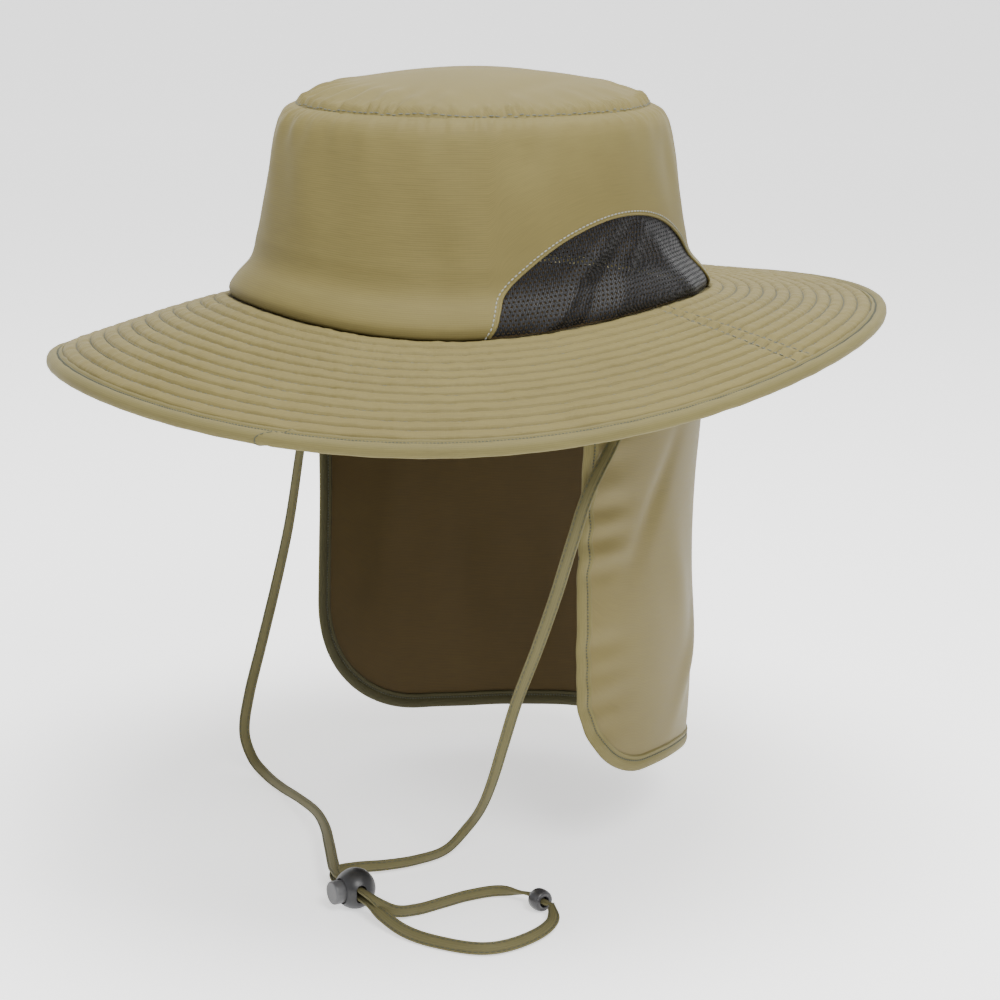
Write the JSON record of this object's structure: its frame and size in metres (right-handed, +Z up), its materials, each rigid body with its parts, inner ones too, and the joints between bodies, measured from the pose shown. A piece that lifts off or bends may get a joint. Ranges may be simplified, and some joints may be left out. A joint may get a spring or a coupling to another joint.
{
  "type": "outdoor_hat",
  "caption": "Olive wide-brimmed sun hat with a stitched brim, mesh side vents, a hanging neck flap and a chin cord with a lock",
  "frame": {"origin": "middle of the head opening, level with the seam between crown and brim", "axes": "+Z up, the wearer faces -Y, +X is the wearer's left"},
  "size_m": [0.3274, 0.3546, 0.3195],
  "materials": {
    "crown_cloth": "plain woven olive cloth, faint sheen",
    "tip_cloth": "plain woven olive cloth, lit from above",
    "vent_net": "dark grey warp-knit net",
    "brim_cloth": "padded olive cloth with rows of stitching",
    "binding_cloth": "folded olive tape, edge stitched",
    "flap_cloth": "thin olive cloth with a soft sheen",
    "flap_binding_cloth": "folded olive tape, edge stitched",
    "cord_cloth": "narrow tube of folded olive cloth, stitched along both edges",
    "lock_plastic": "dark grey moulded plastic, fine satin",
    "button_plastic": "dark grey moulded plastic, satin",
    "bead_plastic": "dark grey moulded plastic, glossy"
  },
  "bodies": {
    "hat": {"crown_side": "crown_cloth", "crown_tip": "tip_cloth", "mesh_panel_left": "vent_net", "mesh_panel_right": "vent_net", "brim": "brim_cloth", "brim_binding": "binding_cloth", "neck_flap": "flap_cloth", "flap_binding": "flap_binding_cloth", "chin_cord": "cord_cloth", "cord_lock_ball": "lock_plastic", "cord_bead": "bead_plastic"},
    "lock_button": {"cord_lock_button": "button_plastic"}
  },
  "joints": [
    {"name": "lock_button_slide", "type": "slide", "parent": "hat", "child": "lock_button", "axis": [0.2588, 0.9659, 0], "range_m": [0, 0.002], "stiffness_N_per_m": 300, "springref_m": -0.002}
  ]
}
